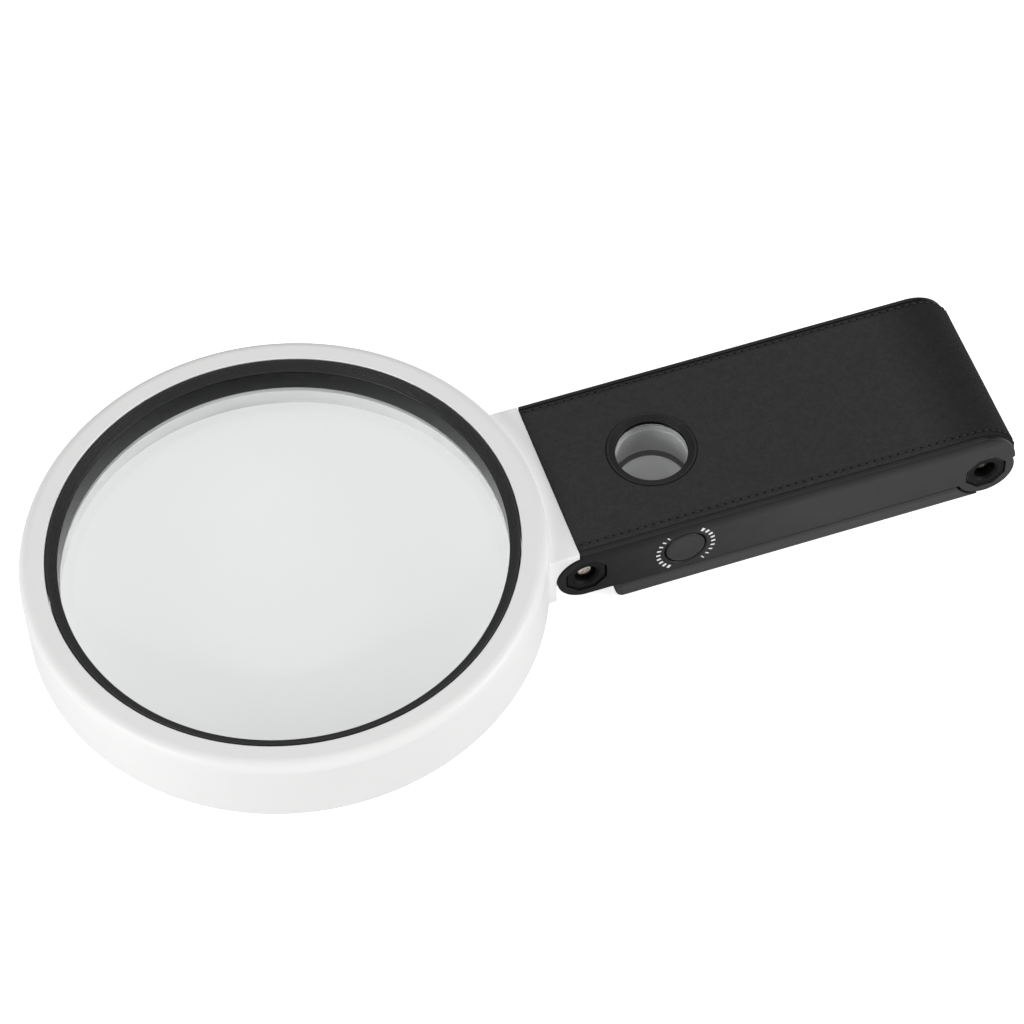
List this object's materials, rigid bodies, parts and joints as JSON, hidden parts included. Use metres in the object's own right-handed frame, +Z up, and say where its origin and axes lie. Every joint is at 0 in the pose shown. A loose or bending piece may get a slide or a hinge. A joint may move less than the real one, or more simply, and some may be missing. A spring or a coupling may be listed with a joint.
{
  "type": "folding illuminated magnifier",
  "caption": "Folding low vision magnifier: large framed lens on a hinged neck, leather-covered handle with a small loupe lens, and a hinged base plate.",
  "frame": {"origin": "bottom centre of the whole folded-flat object's box, on the surface that the feet stand on", "axes": "+X along the handle away from the large lens, +Y across the handle away from the button, +Z up out of the leather face"},
  "size_m": [0.3008, 0.1562, 0.0325],
  "materials": {
    "white_plastic": "satin moulded",
    "black_plastic": "satin moulded",
    "gloss_black": "gloss",
    "leather": "fine pebble grain",
    "lens": "polished",
    "frosted": "frosted",
    "steel": "plated",
    "circuit_board": "solder mask",
    "lamp": "clear over phosphor",
    "cell": "printed sleeve",
    "rubber": "matt"
  },
  "bodies": {
    "arm": {"arm_shell": "black_plastic", "arm_rear_cover": "black_plastic", "leather_cover": "leather", "battery_door": "black_plastic", "small_lens_bezel": "gloss_black", "small_lens": "lens", "light_tube": "white_plastic", "tact_switch": "gloss_black", "circuit_board": "circuit_board", "arm_cover_screw_1": "steel", "arm_cover_screw_2": "steel", "arm_cover_screw_3": "steel", "arm_cover_screw_4": "steel", "battery_door_screw": "steel", "battery_1": "cell", "battery_2": "cell", "battery_3": "cell", "battery_spring_1": "steel", "battery_spring_2": "steel", "battery_spring_3": "steel", "battery_contact_front": "steel", "battery_contact_rear": "steel", "neck_hinge_bushing_left": "black_plastic", "neck_hinge_bushing_right": "black_plastic", "base_hinge_bushing_left": "black_plastic", "base_hinge_bushing_right": "black_plastic"},
    "lens_head": {"lens_frame": "white_plastic", "lens_frame_rear_cover": "white_plastic", "retaining_ring": "gloss_black", "main_lens": "lens", "led_board": "circuit_board", "light_diffuser_ring": "frosted", "led_1": "lamp", "led_2": "lamp", "led_3": "lamp", "led_4": "lamp", "led_5": "lamp", "led_6": "lamp", "led_7": "lamp", "led_8": "lamp", "frame_screw_1": "steel", "frame_screw_2": "steel", "frame_screw_3": "steel", "frame_screw_4": "steel", "neck_hinge_screw_left": "steel", "neck_hinge_screw_right": "steel"},
    "base": {"base_shell": "black_plastic", "base_bottom_cover": "black_plastic", "base_foot_1": "rubber", "base_foot_2": "rubber", "base_foot_3": "rubber", "base_foot_4": "rubber", "base_screw_1": "steel", "base_screw_2": "steel", "base_screw_3": "steel", "base_screw_4": "steel", "base_hinge_screw_left": "steel", "base_hinge_screw_right": "steel"},
    "button": {"brightness_button": "black_plastic", "switch_plunger": "gloss_black"}
  },
  "joints": [
    {"name": "lens_tilt", "type": "hinge", "parent": "arm", "child": "lens_head", "pos_m": [0.01195, 0, 0.0163], "axis": [0, 1, 0], "range_deg": [-90, 0]},
    {"name": "base_fold", "type": "hinge", "parent": "arm", "child": "base", "pos_m": [0.1399, 0, 0.0108], "axis": [0, 1, 0], "range_deg": [-105, 0]},
    {"name": "button_press", "type": "slide", "parent": "arm", "child": "button", "axis": [0, 1, 0], "range_m": [0, 0.0008], "stiffness_N_per_m": 1500}
  ]
}
